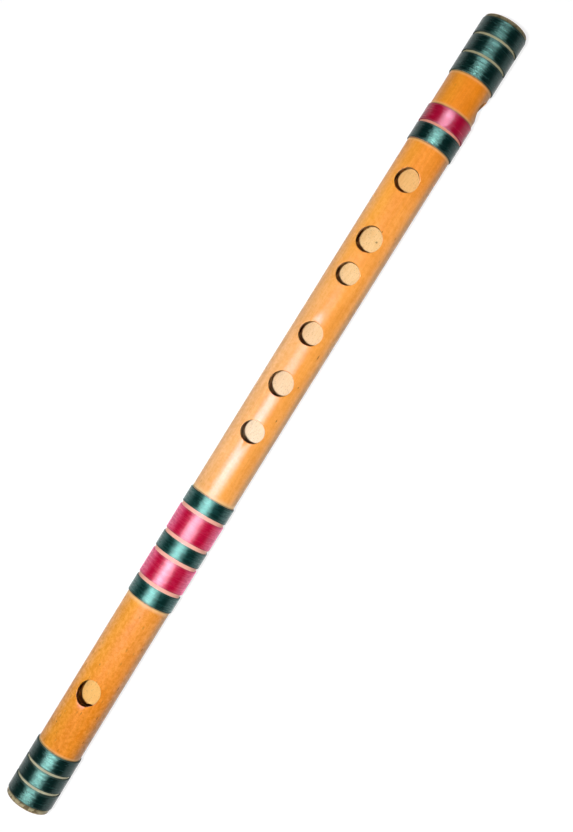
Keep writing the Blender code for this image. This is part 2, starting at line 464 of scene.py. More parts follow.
# painted sheen and painted shade on the skin's flanks
FLANKS = (
    # colour, y where it starts and where it is full, its share, |x| where it starts to change and ends,
    # and how much of it there is before and after that change
    (PAINTED_SHEEN_FLANK, -1.0 * MM, 5.5 * MM, 0.40, 40 * MM, 115 * MM, 1.0, 0.0),
    (LIT_SIDE_STRAW, -1.0 * MM, 5.5 * MM, 0.16, 40 * MM, 115 * MM, 0.0, 1.0),
    (PAINTED_SHEEN_FLANK, 5.5 * MM, 10.5 * MM, 0.32, 80 * MM, 215 * MM, 1.0, 0.45),
    (SHADED_SIDE_AMBER, -3.5 * MM, -7.5 * MM, 0.35, 120 * MM, 190 * MM, 0.0, 1.0),
    (PAINTED_SHEEN_FLANK, -7.5 * MM, -11.5 * MM, 0.28, 80 * MM, 215 * MM, 1.0, 0.0),
    (PAINTED_SHADE_FLANK, 4.5 * MM, 10.0 * MM, 0.28, 150 * MM, 200 * MM, 0.0, 1.0),
    (PAINTED_SHADE_FLANK, -6.5 * MM, -11.0 * MM, 0.42, 150 * MM, 200 * MM, 0.0, 1.0),
    (PAINTED_SHADE_EDGE, -9.6 * MM, -11.8 * MM, 0.60, 0.0, 1.0, 1.0, 1.0),
)


def lay_flanks(tree, vector, x, colour):
    """Painted light and shade on the flanks: a paler sheen along the middle, a lighter lamp side and a
    deeper far side near the ends, and shade near the ends and at the -Y edge.
    """
    y = part_of(tree, vector, "Y")
    from_middle = math_node(tree, "ABSOLUTE", x)
    for flank, y_start, y_full, share_of_it, x_start, x_end, before, after in FLANKS:
        side = range_node(tree, y, y_start, y_full, 0.0, share_of_it)
        reach = range_node(tree, from_middle, x_start, x_end, before, after)
        colour = mix_colours(tree, times(tree, side, reach), colour, flank)
    return colour


def lay_flecks(tree, vector, share, colour):
    """Short dark fibre ends, thick near the head and rare elsewhere."""
    stretched = stretch(tree, vector, (280.0, 620.0, 620.0))
    cells = add_node(tree, "ShaderNodeTexVoronoi", Vector=stretched, Scale=1.0, Randomness=1.0)
    spot = range_node(tree, cells.outputs["Distance"], 0.08, 0.42, 1.0, 0.0)
    chosen = add_node(tree, "ShaderNodeSeparateColor", Color=cells.outputs["Color"]).outputs[0]
    near_head = range_node(tree, share, 0.05, 0.36, 0.80, 0.99)
    picked = math_node(tree, "GREATER_THAN", chosen, near_head)
    return mix_colours(tree, times(tree, times(tree, spot, picked), FLECK_SHARE), colour, FLECK_BROWN)


def make_skin():
    material, tree, shader, vector, grain = start_cane(
        "cane_skin", 0.45 * MM, 24 * MM, Specular_IOR_Level=0.075,
        Specular_Tint=(0.90, 0.60, 1.0, 1.0), Sheen_Weight=0.14, Sheen_Roughness=0.3)
    x, share = place_along(tree, vector)
    colour = ramp_node(tree, share, SKIN_BY_PLACE)

    # painted sheen and painted shade on the flanks
    colour = lay_flanks(tree, vector, x, colour)

    # slow tone changes, then soft blotches, then long streaks
    colour = toned(tree, colour, grain.outputs["Cloud"], 0.36, 0.64,
                   (0.96, 0.93, 0.88, 1.0), (1.03, 1.04, 1.08, 1.0))
    blotches = noise_node(tree, vector, 520.0, 4.0, 0.75)
    blotched = toned(tree, colour, blotches, 0.36, 0.64, (0.89, 0.79, 0.52, 1.0), (1.05, 1.13, 1.50, 1.0))
    colour = mix_colours(tree, range_node(tree, share, 0.05, 0.45, 1.0, 0.45), colour, blotched)
    colour = toned(tree, colour, grain.outputs["Streak"], 0.38, 0.66,
                   (0.96, 0.94, 0.90, 1.0), (1.02, 1.03, 1.05, 1.0))

    colour = lay_flecks(tree, vector, share, colour)
    colour = lay_marks(tree, vector, colour)
    colour, unwaxed = lay_strips(tree, vector, x, colour)
    rough = range_node(tree, grain.outputs["Fine"], 0.3, 0.7, SKIN_ROUGHNESS - 0.05, SKIN_ROUGHNESS + 0.08)
    rough = math_node(tree, "ADD", rough, times(tree, unwaxed, UNWAXED_ROUGHER))
    feed(tree, shader, Base_Color=colour, Roughness=rough)
    relief = math_node(tree, "ADD", grain.outputs["Streak"],
                       times(tree, grain.outputs["Fine"], 0.5))
    add_relief(tree, shader, 0.25, 0.06 * MM, relief)
    return material


skin = make_skin()
print("runs of bindings, mm:", [[round(1000 * v, 1) for v in run] for run in runs_of_bindings()])

# %% [markdown]
# ## Bore wall, hole walls and end grain
# The floor of the bore, which shows through the holes, is pale and dull, and higher up the bore gets
# painted shade. The blow hole's wall is left toasted, while those of the other holes are scraped nearly
# clean. A sawn end shows the cut fibres: small brown dots, which are larger towards the skin and leave
# less ground between them.

# %% The inner materials
BORE_BY_PLACE = (
    # from 0 at the head to 1 at the foot, the colour of the bore's pale floor
    (0.14, (0.98, 0.57, 0.19, 1.0)),
    (0.46, (0.98, 0.80, 0.60, 1.0)),
    (0.54, (0.96, 0.70, 0.46, 1.0)),
    (0.60, (0.96, 0.66, 0.39, 1.0)),
    (0.72, (0.98, 0.66, 0.32, 1.0)),
    (0.80, (0.98, 0.57, 0.22, 1.0)),
)
# painted shade on the bore above its pale floor: how far under the axis it starts and is full
SHADE_LINE = (6.6 * MM, 5.4 * MM)
BORE_PAINTED_SHADE = (0.12, 0.028, 0.006, 1.0)
BORE_SPECK = (0.30, 0.15, 0.05, 1.0)
BORE_KNOT = (107.2 * MM, -1.0 * MM, axis_z - bore_radius)
KNOT_SIZE = 1.3 * MM
TOASTED_UP_TO, SCRAPED_FROM = -120 * MM, -60 * MM
WALL_PALE = (0.66, 0.33, 0.11, 1.0)
TOAST_LIGHT = (0.20, 0.055, 0.012, 1.0)
TOAST_DARK = (0.06, 0.016, 0.004, 1.0)
END_PALE = (0.52, 0.36, 0.19, 1.0)
END_DOT = (0.13, 0.060, 0.022, 1.0)


def radius_node(tree, vector):
    """How far a point lies from the flute's axis."""
    y, z = part_of(tree, vector, "Y"), math_node(tree, "SUBTRACT", part_of(tree, vector, "Z"), axis_z)
    squares = math_node(tree, "ADD", times(tree, y, y), times(tree, z, z))
    return math_node(tree, "SQRT", squares)


def make_bore_wall():
    material, tree, shader, vector, grain = start_cane("bore_wall", 0.5 * MM, 4 * MM, **DULL)
    _, share = place_along(tree, vector)
    colour = ramp_node(tree, share, BORE_BY_PLACE)
    colour = toned(tree, colour, grain.outputs["Streak"], 0.35, 0.65,
                   (0.97, 0.93, 0.86, 1.0), (1.03, 1.03, 1.05, 1.0))
    cells = add_node(tree, "ShaderNodeTexVoronoi", Vector=vector, Scale=900.0, Randomness=1.0)
    pore = range_node(tree, cells.outputs["Distance"], 0.10, 0.34, 0.30, 0.0)
    colour = mix_colours(tree, pore, colour, BORE_SPECK)
    knot = ellipsoid_mask(tree, vector, BORE_KNOT, KNOT_SIZE, KNOT_SIZE)
    colour = mix_colours(tree, times(tree, knot, MARK_SHARE), colour, BORE_SPECK)
    # painted shade: the bore is dark above its pale floor
    z = part_of(tree, vector, "Z")
    painted_shade = range_node(tree, z, axis_z - SHADE_LINE[0], axis_z - SHADE_LINE[1])
    colour = mix_colours(tree, painted_shade, colour, BORE_PAINTED_SHADE)
    feed(tree, shader, Base_Color=colour)
    add_relief(tree, shader, 0.5, 0.1 * MM, grain.outputs["Fine"])
    return material


def make_hole_wall():
    material, tree, shader, vector, grain = start_cane("toasted_hole_wall", 0.3 * MM, 2 * MM, **DULL)
    char = range_node(tree, grain.outputs["Streak"], 0.35, 0.62)
    toasted = mix_colours(tree, char, TOAST_DARK, TOAST_LIGHT)
    scraped = range_node(tree, part_of(tree, vector, "X"), TOASTED_UP_TO, SCRAPED_FROM, 0.0, 0.9)
    colour = mix_colours(tree, scraped, toasted, WALL_PALE)
    feed(tree, shader, Base_Color=colour)
    add_relief(tree, shader, 0.5, 0.1 * MM, grain.outputs["Fine"])
    return material


def make_end_grain():
    material, tree, shader, vector, grain = start_cane("cane_end_grain", **DULL)
    flat = stretch(tree, vector, (30.0, 1600.0, 1600.0))
    cells = add_node(tree, "ShaderNodeTexVoronoi", Vector=flat, Scale=1.0, Randomness=0.9)
    size = range_node(tree, radius_node(tree, vector), bore_radius, head_radius, 0.22, 0.52, smooth=False)
    dot = math_node(tree, "LESS_THAN", cells.outputs["Distance"], size)
    mottled = mix_colours(tree, grain.outputs["Cloud"], END_PALE, (0.40, 0.24, 0.11, 1.0))
    colour = mix_colours(tree, times(tree, dot, DOT_SHARE), mottled, END_DOT)
    feed(tree, shader, Base_Color=colour)
    add_relief(tree, shader, 0.4, 0.08 * MM, cells.outputs["Distance"])
    return material


bore_wall, hole_wall, end_grain = make_bore_wall(), make_hole_wall(), make_end_grain()

# %% [markdown]
# ## Helpers for modelling
# An operator acts on everything that is selected, so each new piece starts from an empty selection. Faces
# are picked by a test on their middle or their normal.

# %% Helpers for modelling


def add_piece(name, add, **settings):
    """A new piece from an operator that adds one, with nothing else selected."""
    bpy.ops.object.select_all(action="DESELECT")
    add(**settings)
    piece = bpy.context.object
    piece.name = piece.data.name = name
    return piece


def select_only(*pieces):
    bpy.ops.object.select_all(action="DESELECT")
    for piece in pieces:
        piece.select_set(True)
    bpy.context.view_layer.objects.active = pieces[0]


def edit(piece, kind="FACE"):
    select_only(piece)
    bpy.ops.object.mode_set(mode="EDIT")
    bpy.ops.mesh.select_mode(type=kind)


def leave_edit():
    bpy.ops.object.mode_set(mode="OBJECT")


def pick_faces(piece, test):
    """In object mode, selects the faces that pass the test, and nothing else."""
    mesh = piece.data
    for vertex in mesh.vertices:
        vertex.select = False
    for edge in mesh.edges:
        edge.select = False
    for face in mesh.polygons:
        face.select = test(face)


def paint_faces(piece, slot, test):
    """Gives the faces that pass the test to one of the piece's material slots."""
    pick_faces(piece, test)
    edit(piece)
    piece.active_material_index = slot
    bpy.ops.object.material_slot_assign()
    leave_edit()


def bridge_open_rims():
    """In edit mode, joins the two open rims of a turned wall."""
    bpy.ops.mesh.select_all(action="DESELECT")
    bpy.ops.mesh.select_non_manifold()
    bpy.ops.mesh.bridge_edge_loops()


def extrude_by(*step):
    bpy.ops.mesh.extrude_edges_move(TRANSFORM_OT_translate={"value": step})


def face_outwards(piece):
    edit(piece)
    bpy.ops.mesh.select_all(action="SELECT")
    bpy.ops.mesh.normals_make_consistent(inside=False)
    leave_edit()


def apply_modifiers(piece):
    select_only(piece)
    for modifier in list(piece.modifiers):
        bpy.ops.object.modifier_apply(modifier=modifier.name)


def settle(piece):
    """Puts the piece's place into its mesh, so that its object sits at the origin."""
    select_only(piece)
    bpy.ops.object.transform_apply(location=True, rotation=True, scale=True)


def report(piece):
    triangles = sum(len(face.vertices) - 2 for face in piece.data.polygons)
    print(f"{piece.name}: {triangles} triangles")


# %% [markdown]
# ## The cane
# The cane is turned from one ring. It is extruded from the head to the foot, station by station, resized
# for the taper and moved for the bow, then folded in over the foot's edge and drawn back along the bore.
# Bridging the last ring to the first closes the head. A maker breaks the sharp edges of a sawn end with a
# file, so both ends get a small rounded edge.

# %% The cane's outline
CANE_SIDES = 160
OUTER_STEP = 7 * MM
BORE_STEP = 14 * MM
END_EDGE = 0.45 * MM
SWELL, SWELL_LENGTH = 0.05 * MM, 22 * MM
CORNER_STEPS = 3


def swell_at(x):
    """The small rise and fall of a grown surface. It only takes away, so the cane stays in its box."""
    return SWELL * (0.5 + 0.5 * noise.noise(Vector((x / SWELL_LENGTH, 3.1, 7.7)))) - SWELL


def rounded_corner(x, radius, into, size, outward):
    """Points (x, radius) round a corner, from a point on one face to a point on the next."""
    points = []
    for step in range(CORNER_STEPS + 1):
        angle = step / CORNER_STEPS * pi / 2
        if outward:
            points.append((x + into * size * (1 - sin(angle)), radius - size * (1 - cos(angle))))
        else:
            points.append((x + into * size * (1 - cos(angle)), radius + size * (1 - sin(angle))))
    return points


def cane_outline():
    """(x, radius) of each ring: the head's edge, the skin, the foot's edge, the bore, the head again."""
    first, last = head_x + END_EDGE, foot_x - END_EDGE
    count = round((last - first) / OUTER_STEP)
    skin_rings = [first + (last - first) * i / count for i in range(count + 1)]
    outline = list(reversed(rounded_corner(head_x, cane_radius_at(head_x), 1, END_EDGE, True)))
    outline += [(x, cane_radius_at(x) + swell_at(x)) for x in skin_rings[1:-1]]
    outline += rounded_corner(foot_x, cane_radius_at(foot_x), -1, END_EDGE, True)
    outline += list(reversed(rounded_corner(foot_x, bore_radius, -1, END_EDGE, False)))
    count = round((last - first) / BORE_STEP)
    bore_rings = [last - (last - first) * i / count for i in range(1, count)]
    outline += [(x, bore_radius) for x in bore_rings]
    outline += rounded_corner(head_x, bore_radius, 1, END_EDGE, False)
    return outline


def turn_the_cane():
    outline = cane_outline()
    x, radius = outline[0]
    cane = add_piece("bamboo_cane", bpy.ops.mesh.primitive_circle_add, vertices=CANE_SIDES,
                     radius=radius, fill_type="NOTHING", location=(x, bow_at(x), axis_z),
                     rotation=(0, pi / 2, 0))
    settle(cane)
    edit(cane, "EDGE")
    bpy.ops.mesh.select_all(action="SELECT")
    for next_x, next_radius in outline[1:]:
        extrude_by(next_x - x, bow_at(next_x) - bow_at(x), 0.0)
        grow = next_radius / radius
        if abs(grow - 1) > 1e-7:
            centre = (next_x, bow_at(next_x), axis_z)
            bpy.ops.transform.resize(value=(1.0, grow, grow), center_override=centre)
        x, radius = next_x, next_radius
    bridge_open_rims()
    leave_edit()
    face_outwards(cane)
    return cane


cane = turn_the_cane()
report(cane)

# %% [markdown]
# ## The holes
# Each hole is cut by an oval plug. A straight plug would leave a knife-sharp rim, while a real rim is
# eased so that it is kind to a fingertip. So the plug flares in nearly a quarter round just under the skin.
# The skin falls away to both sides of a hole, and the flare has to follow it: each point of the plug's upper
# rings is set to the height of the skin above it.

# %% Cut the holes
PLUG_SIDES = 72
RIM_ROUND = 0.28 * MM
RIM_TURN, RIM_STEPS = radians(78), 4
PLUG_FOOT, PLUG_TOP, PLUG_FLARE = 0.9, 1.4, 1.05
ROD_LEAN = 0.16 * MM
HOLES = (
    # opening in the frame's record, length, width, turn from the top towards -Y in degrees
    ("blow_hole", 14.0 * MM, 12.1 * MM, -2.7),
    ("finger_hole_1", 12.2 * MM, 12.4 * MM, 4.8),
    ("finger_hole_2", 13.6 * MM, 12.8 * MM, 1.7),
    ("finger_hole_3", 12.9 * MM, 12.6 * MM, -1.6),
    ("finger_hole_4", 12.4 * MM, 12.3 * MM, -1.9),
    ("finger_hole_5", 14.3 * MM, 13.4 * MM, -1.9),
    ("finger_hole_6", 13.4 * MM, 12.7 * MM, 0.2),
    ("tuning_hole", 12.0 * MM, 12.0 * MM, 95.0),
)
openings = {entry["name"]: entry["box_m"] for entry in record["physics"]["openings"]}


def hole_x(name):
    """The opening's middle. The rod leant a little towards the head in the finger holes."""
    low, high = openings[name]
    leant = ROD_LEAN if name.startswith("finger") else 0.0
    return (low[0] + high[0]) / 2 - leant


def plug_levels(skin_radius):
    """(growth beyond the oval, depth under the skin or None for a fixed height, that height)."""
    levels = [(0.0, None, 0.0), (0.0, None, bore_radius * PLUG_FOOT)]
    for step in range(RIM_STEPS + 1):
        angle = RIM_TURN * step / RIM_STEPS
        levels.append((RIM_ROUND * (1 - cos(angle)), RIM_ROUND * (1 - sin(angle)), None))
    levels.append((RIM_ROUND * PLUG_FLARE, None, skin_radius * PLUG_TOP))
    return levels


def make_plug(name, length, width, turn):
    x = hole_x(name)
    skin_radius = cane_radius_at(x) + swell_at(x)
    plug = add_piece(f"{name}_plug", bpy.ops.mesh.primitive_circle_add, vertices=PLUG_SIDES,
                     radius=1.0, fill_type="NGON")
    edit(plug)
    levels = plug_levels(skin_radius)
    bpy.ops.mesh.select_all(action="SELECT")
    for _ in levels[1:]:
        bpy.ops.mesh.extrude_region_move(TRANSFORM_OT_translate={"value": (0, 0, 1.0)})
    leave_edit()
    for vertex in plug.data.vertices:
        growth, depth, height = levels[round(vertex.co.z)]
        angle = atan2(vertex.co.y, vertex.co.x)
        px, py = (length / 2 + growth) * cos(angle), (width / 2 + growth) * sin(angle)
        pz = height if depth is None else sqrt(skin_radius ** 2 - py ** 2) - depth
        vertex.co = (px, py, pz)
    plug.rotation_euler = (radians(turn), 0, 0)
    plug.location = (x, bow_at(x), axis_z)
    settle(plug)
    face_outwards(plug)
    return plug


def cut_the_holes(cane):
    for name, length, width, turn in HOLES:
        plug = make_plug(name, length, width, turn)
        select_only(cane)
        cut = cane.modifiers.new(plug.name, "BOOLEAN")
        cut.operation, cut.solver, cut.object = "DIFFERENCE", "MANIFOLD", plug
        bpy.ops.object.modifier_apply(modifier=cut.name)
        bpy.data.objects.remove(plug)
    print(f"{len(HOLES)} holes cut")


cut_the_holes(cane)

# %% Give the cane its finishes
SAME_SURFACE = 0.02 * MM
END_REACH = 0.99 * END_EDGE
HOLE_WALL_LEAN = radians(72)
CANE_CREASE = radians(28)


def radius_of(point):
    return sqrt((point.y - bow_at(point.x)) ** 2 + (point.z - axis_z) ** 2)


def near_an_end(point):
    return min(point.x - head_x, foot_x - point.x) < END_REACH


def is_bore(face):
    return radius_of(face.center) < bore_radius + SAME_SURFACE and not near_an_end(face.center)


def is_end(face):
    return near_an_end(face.center)


def is_hole_wall(face):
    """Faces whose normal leans well away from the cane's own radial direction, off the ends."""
    point = face.center
    if near_an_end(point) or is_bore(face):
        return False
    outward = Vector((0.0, point.y - bow_at(point.x), point.z - axis_z)).normalized()
    return face.normal.dot(outward) < cos(HOLE_WALL_LEAN)


cane.data.materials.clear()
for material in (skin, bore_wall, hole_wall, end_grain):
    cane.data.materials.append(material)
paint_faces(cane, 1, is_bore)
paint_faces(cane, 2, is_hole_wall)
paint_faces(cane, 3, is_end)
select_only(cane)
bpy.ops.object.shade_smooth_by_angle(angle=CANE_CREASE)
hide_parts("cane_tube")
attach(cane, "flute")
report(cane)

# %% [markdown]
# ## The cork stopper
# A cork is a plug with soft edges and a pitted surface. A cylinder gives the start, a bevel eases its
# edges, and an even remesh gives it enough small faces for a displacement that sinks its pores. It fits
# the bore closely, as a real one does.

# %% Model the cork
CORK_GAP = 0.12 * MM
CORK_EDGE = 0.7 * MM
CORK_PORE, PORE_STEP = 0.22 * MM, 1.7 * MM
CORK_GRID = 0.45 * MM
CORK_DARK = (0.16, 0.075, 0.028, 1.0)
CORK_LIGHT = (0.50, 0.30, 0.14, 1.0)


def make_cork_material():
    material, tree, shader = start_material("natural_cork", **DULL)
    vector = own_place(tree)
    blotch = noise_node(tree, vector, 900.0, 4.0, 0.6)
    pores = add_node(tree, "ShaderNodeTexVoronoi", Vector=vector, Scale=700.0)
    light = range_node(tree, blotch, 0.35, 0.65)
    colour = mix_colours(tree, light, (0.36, 0.19, 0.08, 1.0), CORK_LIGHT)
    pore = range_node(tree, pores.outputs["Distance"], 0.12, 0.28, 0.8, 0.0)
    colour = mix_colours(tree, pore, colour, CORK_DARK)
    feed(tree, shader, Base_Color=colour)
    add_relief(tree, shader, 0.5, 0.12 * MM, blotch)
    return material


def make_cork():
    low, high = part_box("cork_stopper")
    centre = middle_of("cork_stopper")
    length, radius = high[0] - low[0], bore_radius - CORK_GAP
    cork = add_piece("cork_plug", bpy.ops.mesh.primitive_cylinder_add, vertices=96, radius=radius,
                     depth=length, location=centre, rotation=(0, pi / 2, 0))
    settle(cork)
    pick_faces(cork, lambda face: abs(face.normal.x) > 0.9)
    edit(cork)
    bpy.ops.mesh.bevel(offset=CORK_EDGE, segments=3, affect="EDGES")
    leave_edit()
    even = cork.modifiers.new("even", "REMESH")
    even.mode, even.voxel_size = "VOXEL", CORK_GRID
    pores = bpy.data.textures.new("cork_pores", "VORONOI")
    pores.noise_scale = PORE_STEP
    pits = cork.modifiers.new("pits", "DISPLACE")
    pits.texture, pits.strength, pits.mid_level = pores, CORK_PORE, 1.0
    apply_modifiers(cork)
    select_only(cork)
    bpy.ops.object.shade_smooth()
    cork.data.materials.append(make_cork_material())
    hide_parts("cork_stopper")
    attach(cork, "stopper")
    report(cork)


make_cork()

# %% [markdown]
# ## Thread: the finish
# The thread is mercerised cotton, four plies twisted together. Its dye is deep and its fibres shine, so it
# is dark from the side and bright where its fibres face the light. The grooves between the plies get
# painted shade. Two lots were used. The middle bindings, which hands touch, have a waxy coat, a pale fuzz
# and a painted sheen on their sides, and the others are deeper and cleaner. The turns at a binding's edges
# get painted shade and a little dust. The twist comes from the thread's own UV map: U runs along the thread
# in turns and V goes round it, so a slanting stripe in UV is a ply.

# %% The thread materials
PLIES = 4
TWISTS_PER_TURN = 60
LOTS = {
    # lot: its waxy coat, its fuzz, its index of refraction, its least and most roughness
    "middle": (0.17, 1.0, 1.33, 0.15, 0.38),
    "ends": (0.0, 0.0, 1.43, 0.11, 0.31),
}
DYE_LEVEL = {
    # how bright each lot's dye is, so the lower one is the darker
    "middle": {"green_thread": 1.0, "pink_thread": 1.0},
    "ends": {"green_thread": 0.66, "pink_thread": 0.80},
}
LOT_BORDER = 120 * MM
# painted shade with a little dust on the turns at each binding's edge
EDGE_REACH, DUST_ROUGHER = 1.5, 0.30
EDGE_SHADE_AND_DUST = (0.012, 0.010, 0.004, 1.0)
EDGE_SHADE_AND_DUST_SHARE = {"green_thread": 0.85, "pink_thread": 0.30}
# painted sheen on the middle bindings at the flute's two sides
SHEEN_SHIFT, SHEEN_FROM, SHEEN_TO, SHEEN_SHARE = 1.0 * MM, 7.0 * MM, 11.5 * MM, 0.5
PAINTED_LIMB_SHEEN = {"green_thread": (0.05, 0.15, 0.14), "pink_thread": (0.98, 0.13, 0.32)}


def make_twist_group():
    group, given, result = start_group(
        "thread_twist", [("UV", "NodeSocketVector", None)],
        [("Ply", "NodeSocketFloat"), ("Turn Tone", "NodeSocketFloat")])
    parts = add_node(group, "ShaderNodeSeparateXYZ", Vector=given.outputs["UV"])
    twists = times(group, parts.outputs["X"], float(TWISTS_PER_TURN))
    phase = math_node(group, "ADD", twists, parts.outputs["Y"])
    # each hump of the wave is one ply, with a groove on both sides
    wave = math_node(group, "SINE", times(group, phase, pi * PLIES))
    ply = math_node(group, "ABSOLUTE", wave)
    stretched = stretch(group, given.outputs["UV"], (1.7, 0.0, 0.0))
    tone = noise_node(group, stretched, 1.0, 3.0, 0.7)
    feed(group, result, Ply=ply, Turn_Tone=tone)
    return group


twist_group = make_twist_group()

THREADS = {
    # slot: the dye where it is deep and where it is light, the tint of the shine for each lot, the fuzz
    # and its tint
    "green_thread": ((0.0008, 0.013, 0.012), (0.0018, 0.028, 0.024),
                     {"middle": (0.26, 1.0, 0.92), "ends": (0.46, 1.0, 0.92)}, 0.15, (0.45, 1.0, 0.95)),
    "pink_thread": ((0.39, 0.0006, 0.030), (0.53, 0.0012, 0.046),
                    {"middle": (1.0, 0.74, 1.0), "ends": (1.0, 0.68, 0.95)}, 1.0, (1.0, 0.22, 0.50)),
}


def solid(colour, level=1.0):
    return tuple(level * part for part in colour) + (1.0,)


def make_thread_material(slot, lot):
    shade, light, shine, fuzz, fuzz_tint = THREADS[slot]
    coat, fuzz_share, refraction, shiny, dull = LOTS[lot]
    level = DYE_LEVEL[lot][slot]
    material, tree, shader = start_material(
        f"{slot}_{lot}", IOR=refraction, Specular_Tint=solid(shine[lot]), Coat_Weight=coat,
        Coat_Roughness=0.22, Sheen_Weight=fuzz * fuzz_share, Sheen_Roughness=0.3,
        Sheen_Tint=solid(fuzz_tint))
    thread_map, edge_map = [
        add_node(tree, "ShaderNodeUVMap", {"uv_map": name}).outputs["UV"] for name in ("thread", "edge")]
    twist = use_group(tree, twist_group, UV=thread_map)
    tone = range_node(tree, twist.outputs["Turn Tone"], 0.3, 0.7)
    colour = mix_colours(tree, tone, solid(shade, level), solid(light, level))
    # painted shade: the grooves between the plies are darker
    groove = range_node(tree, twist.outputs["Ply"], 0.0, 0.5, 0.55, 0.0)
    colour = mix_colours(tree, groove, colour, solid(shade, level))

    vector = own_place(tree)
    if lot == "middle":
        # painted sheen: the dye is paler at the flute's two sides
        y = part_of(tree, vector, "Y")
        side = math_node(tree, "ABSOLUTE", math_node(tree, "ADD", y, SHEEN_SHIFT))
        limb_sheen = range_node(tree, side, SHEEN_FROM, SHEEN_TO, 0.0, SHEEN_SHARE)
        colour = mix_colours(tree, limb_sheen, colour, solid(PAINTED_LIMB_SHEEN[slot]))

    # painted shade: the turns at a binding's edges are darker, with a little dust, and duller
    from_edge = part_of(tree, edge_map, "X")
    edge_shade_and_dust = range_node(tree, from_edge, 0.0, EDGE_REACH, 1.0, 0.0)
    colour = mix_colours(tree, times(tree, edge_shade_and_dust, EDGE_SHADE_AND_DUST_SHARE[slot]), colour, EDGE_SHADE_AND_DUST)

    # some turns and some bunches of turns shine more than their neighbours
    stretched = stretch(tree, vector, (650.0, 200.0, 200.0))
    bunches = noise_node(tree, stretched, 1.0, 2.0, 0.6)
    both = math_node(tree, "ADD", twist.outputs["Turn Tone"], bunches)
    rough = range_node(tree, both, 0.78, 1.22, shiny, dull, smooth=False)
    rough = math_node(tree, "ADD", rough, times(tree, edge_shade_and_dust, DUST_ROUGHER))
    feed(tree, shader, Base_Color=colour, Roughness=rough)
    add_relief(tree, shader, 0.12, 0.05 * MM, twist.outputs["Ply"])
    return material


thread_materials = {(slot, lot): make_thread_material(slot, lot) for slot in THREADS for lot in LOTS}

# %% [markdown]
# ## Thread: the winding
# A binding is one thread wound turn beside turn, with both tails pulled under the last turns so that no
# knot shows. A small ring of ten points, moved out to the winding radius, is swept into a helix by the
# Screw modifier. Its two ends then sink lower than their neighbours on the flute's underside. A thin
# sleeve inside stands for the first layer of thread, so that no light passes between the turns.

# %% Wind the bindings
THREAD_PITCH = 0.46 * MM
THREAD_SIDES = 10
TURN_OVERLAP = 1.01
STEPS_PER_TURN = 80
CROWN_ARC = radians(22)
THREAD_DEPTH = 0.30 * MM
TAIL_STEPS = 12
TAIL_DIVE = 0.2 * MM
HAND_DROP, DROPS_PER_TURN = 0.03 * MM, 1.9
HAND_ROLL, ROLLS_PER_TURN = radians(7), 1.4
CROWN_MARGIN = 0.03 * MM
SLEEVE_SIDES = 96
SLEEVE_INSET, SLEEVE_LIFT, SLEEVE_SINK = 0.15 * MM, 0.02 * MM, 0.6 * THREAD_DEPTH
THREAD_CREASE = radians(50)
slot_of = {entry["node"]: entry["material_slot"] for entry in record["subparts"]}


def thread_profile(half_width):
    """(place across the thread, depth under the crown): a shallow arc on top, a narrow foot below."""
    arc_radius = half_width / sin(CROWN_ARC)
    angles = [CROWN_ARC * share for share in (-1, -0.93, -0.55, 0, 0.55, 0.93, 1)]
    arc = [(arc_radius * sin(a), arc_radius * (1 - cos(a))) for a in angles]
    foot = [(share * half_width, THREAD_DEPTH) for share in (0.7, 0, -0.7)]
    return arc + foot


def wind_thread(name, start, end, crown_radius):
    """A helix of thread from start to end along X, round the X axis, its crown at crown_radius."""
    turns = round((end - start) / THREAD_PITCH) - 1
    pitch = (end - start) / (turns + 1)
    thread = add_piece(name, bpy.ops.mesh.primitive_circle_add, vertices=THREAD_SIDES,
                       radius=pitch / 2, fill_type="NOTHING")
    for vertex, (place, depth) in zip(thread.data.vertices, thread_profile(pitch / 2 * TURN_OVERLAP)):
        vertex.co = (start + pitch / 2 + place, 0.0, -(crown_radius - depth))
    sweep = thread.modifiers.new("sweep", "SCREW")
    sweep.axis, sweep.angle, sweep.screw_offset = "X", tau, pitch
    sweep.iterations, sweep.steps, sweep.render_steps = turns, STEPS_PER_TURN, STEPS_PER_TURN
    sweep.use_merge_vertices, sweep.use_smooth_shade = False, True
    apply_modifiers(thread)
    return thread, turns, pitch


def lay_by_hand(thread, turns, half_width, seed):
    """Hand winding: each turn lies a little lower or higher and rolls a little, and the tails dive."""
    places = [place for place, _ in thread_profile(half_width)]
    last_step = turns * STEPS_PER_TURN
    for vertex in thread.data.vertices:
        step, side = divmod(vertex.index, THREAD_SIDES)
        turn = step / STEPS_PER_TURN
        drop = HAND_DROP * (0.5 + 0.5 * noise.noise(Vector((DROPS_PER_TURN * turn, seed, 0.0))))
        drop += places[side] * HAND_ROLL * noise.noise(Vector((ROLLS_PER_TURN * turn, seed, 5.0)))
        from_end = min(step, last_step - step)
        if from_end < TAIL_STEPS:
            share = 1 - from_end / TAIL_STEPS
            drop += TAIL_DIVE * share * share * (3 - 2 * share)
        radius = sqrt(vertex.co.y ** 2 + vertex.co.z ** 2)
        keep = (radius - drop) / radius
        vertex.co.y *= keep
        vertex.co.z *= keep


def map_the_thread(thread, start, end):
    """One UV map counts turns along the thread and goes once round it.

    A second one holds how far each point lies from the binding's nearest edge, in millimetres.
    """
    mesh = thread.data
    around_map = mesh.uv_layers.new(name="thread")
    edge_map = mesh.uv_layers.new(name="edge")
    for face in mesh.polygons:
        sides = [mesh.loops[i].vertex_index % THREAD_SIDES for i in face.loop_indices]
        wraps = 0 in sides and THREAD_SIDES - 1 in sides
        for i, side in zip(face.loop_indices, sides):
            index = mesh.loops[i].vertex_index
            around = THREAD_SIDES if wraps and side == 0 else side
            around_map.data[i].uv = (index // THREAD_SIDES / STEPS_PER_TURN, around / THREAD_SIDES)
            x = mesh.vertices[index].co.x
            edge_map.data[i].uv = (min(x - start, end - x) / MM, 0.5)


